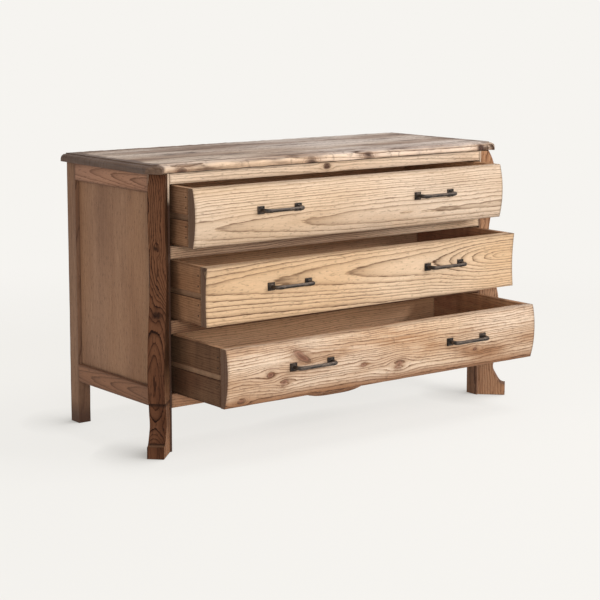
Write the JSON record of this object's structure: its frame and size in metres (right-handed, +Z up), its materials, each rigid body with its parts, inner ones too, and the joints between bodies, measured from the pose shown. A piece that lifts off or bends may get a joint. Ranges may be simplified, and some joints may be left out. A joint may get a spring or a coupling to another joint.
{
  "type": "chest of drawers",
  "caption": "Low wooden chest of drawers with a bowed and hollowed front, diagonal bombé corner legs, a moulded top and dark bow pulls; the drawers slide out on wooden runners.",
  "frame": {"origin": "on the floor, under the centre of the bounding box of the stored pose with its drawers partly open", "axes": "+X along the front to the viewer's right, -Y out of the front where the drawers open, +Z up"},
  "size_m": [1.3388, 0.776, 0.795],
  "materials": {
    "top_wood": "weathered, waxed",
    "front_wood": "brushed, waxed",
    "pilaster_wood": "waxed",
    "side_wood": "waxed",
    "box_wood": "raw, stained",
    "iron": "blackened, satin",
    "steel": "zinc plated"
  },
  "bodies": {
    "carcass": {"top": "top_wood", "front_top_rail": "front_wood", "front_rail_1": "front_wood", "front_rail_2": "front_wood", "apron": "front_wood", "front_post_left": "front_wood", "pilaster_left": "pilaster_wood", "rear_post_left": "side_wood", "side_top_rail_left": "side_wood", "side_low_rail_left": "side_wood", "side_panel_left": "side_wood", "cleat_left": "box_wood", "runner_1_left": "box_wood", "runner_2_left": "box_wood", "runner_3_left": "box_wood", "front_post_right": "front_wood", "pilaster_right": "pilaster_wood", "rear_post_right": "side_wood", "side_top_rail_right": "side_wood", "side_low_rail_right": "side_wood", "side_panel_right": "side_wood", "cleat_right": "box_wood", "runner_1_right": "box_wood", "runner_2_right": "box_wood", "runner_3_right": "box_wood", "back_low_rail": "box_wood", "back_top_rail": "box_wood", "back_panel": "box_wood", "back_screws": "steel", "cleat_screws": "steel", "runner_screws": "steel"},
    "drawer_1": {"drawer_1_front": "front_wood", "drawer_1_side_left": "box_wood", "drawer_1_side_right": "box_wood", "drawer_1_back": "box_wood", "drawer_1_bottom": "box_wood", "drawer_1_pull_left": "iron", "drawer_1_pull_right": "iron", "drawer_1_rosettes": "iron", "drawer_1_pull_screws": "steel"},
    "drawer_2": {"drawer_2_front": "front_wood", "drawer_2_side_left": "box_wood", "drawer_2_side_right": "box_wood", "drawer_2_back": "box_wood", "drawer_2_bottom": "box_wood", "drawer_2_pull_left": "iron", "drawer_2_pull_right": "iron", "drawer_2_rosettes": "iron", "drawer_2_pull_screws": "steel"},
    "drawer_3": {"drawer_3_front": "front_wood", "drawer_3_side_left": "box_wood", "drawer_3_side_right": "box_wood", "drawer_3_back": "box_wood", "drawer_3_bottom": "box_wood", "drawer_3_pull_left": "iron", "drawer_3_pull_right": "iron", "drawer_3_rosettes": "iron", "drawer_3_pull_screws": "steel"}
  },
  "joints": [
    {"name": "drawer_1_slide", "type": "slide", "parent": "carcass", "child": "drawer_1", "axis": [0, -1, 0], "range_m": [-0.099, 0.221]},
    {"name": "drawer_2_slide", "type": "slide", "parent": "carcass", "child": "drawer_2", "axis": [0, -1, 0], "range_m": [-0.165, 0.155]},
    {"name": "drawer_3_slide", "type": "slide", "parent": "carcass", "child": "drawer_3", "axis": [0, -1, 0], "range_m": [-0.249, 0.071]}
  ]
}
